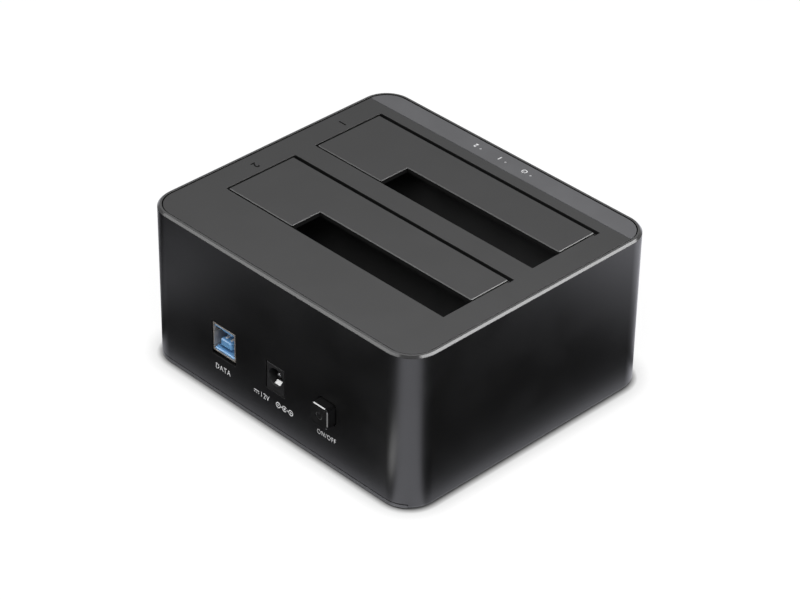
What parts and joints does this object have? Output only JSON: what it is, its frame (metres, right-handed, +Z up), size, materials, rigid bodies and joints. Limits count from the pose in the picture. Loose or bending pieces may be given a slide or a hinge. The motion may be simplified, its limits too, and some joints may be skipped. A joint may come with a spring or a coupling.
{
  "type": "hard drive docking station",
  "caption": "Box-shaped dock for bare hard drives: black aluminium sleeve, grey top with sprung flaps over the drive bays, lamp strip in front, data socket, power jack and push button behind.",
  "frame": {"origin": "on the desk plane, below the middle of the housing", "axes": "+Z up, +X to the right seen from the front; the lamp strip is at -Y and the sockets at +Y"},
  "size_m": [0.13, 0.1187, 0.0614],
  "materials": {
    "anodised_black": "fine blasted and anodised black",
    "plate_grey": "satin dark grey with a fine moulded grain",
    "strip_grey": "smooth semi-gloss grey",
    "black_plastic": "matt black moulding",
    "jack_plastic": "satin black moulding",
    "foot_rubber": "matt black rubber",
    "screw_steel": "zinc plated",
    "spring_steel": "bright drawn wire",
    "board_green": "green solder mask",
    "contact_gilt": "thin gilt plating",
    "socket_metal": "bright nickel plating",
    "socket_blue": "smooth blue moulding",
    "jack_metal": "bright nickel plating",
    "pale_plastic": "ivory moulding",
    "lamp_clear": "clear light post",
    "ribbon_grey": "flexible grey insulation",
    "chip_black": "black epoxy",
    "can_sleeve": "dark blue shrink sleeve"
  },
  "bodies": {
    "housing": {"housing_sleeve": "anodised_black", "top_plate": "plate_grey", "indicator_strip": "strip_grey", "bay_frame": "black_plastic", "base_plate": "black_plastic", "switch_body": "black_plastic", "rear_drive_connector": "black_plastic", "front_drive_connector": "black_plastic", "jack_housing": "jack_plastic", "rubber_feet": "foot_rubber", "base_screws": "screw_steel", "frame_screws": "screw_steel", "board_screws": "screw_steel", "indicator_screws": "screw_steel", "rear_flap_spring": "spring_steel", "front_flap_spring": "spring_steel", "button_spring": "spring_steel", "rear_hinge_pins": "spring_steel", "front_hinge_pins": "spring_steel", "main_board": "board_green", "indicator_board": "board_green", "rear_connector_contacts": "contact_gilt", "front_connector_contacts": "contact_gilt", "data_socket_contacts": "contact_gilt", "data_socket_shell": "socket_metal", "crystal": "socket_metal", "data_socket_insulator": "socket_blue", "jack_pin": "jack_metal", "jack_spring": "jack_metal", "ribbon_header": "pale_plastic", "indicator_lamps": "lamp_clear", "indicator_ribbon": "ribbon_grey", "control_chips": "chip_black", "inductor": "chip_black", "capacitors": "can_sleeve"},
    "rear_flap": {"rear_flap": "plate_grey"},
    "front_flap": {"front_flap": "plate_grey"},
    "button": {"power_button": "black_plastic", "switch_plunger": "pale_plastic"}
  },
  "joints": [
    {"name": "rear_flap_hinge", "type": "hinge", "parent": "housing", "child": "rear_flap", "pos_m": [0, 0.0003, 0.05725], "axis": [-1, 0, 0], "range_deg": [0, 88], "stiffness_Nm_per_rad": 0.008, "springref_deg": -34.38, "deforming": ["rear_flap_spring"]},
    {"name": "front_flap_hinge", "type": "hinge", "parent": "housing", "child": "front_flap", "pos_m": [0, -0.04105, 0.05725], "axis": [-1, 0, 0], "range_deg": [0, 88], "stiffness_Nm_per_rad": 0.008, "springref_deg": -34.38, "deforming": ["front_flap_spring"]},
    {"name": "power_button_slide", "type": "slide", "parent": "housing", "child": "button", "axis": [0, -1, 0], "range_m": [0, 0.0022], "stiffness_N_per_m": 400, "springref_m": -0.002, "deforming": ["button_spring"]}
  ]
}
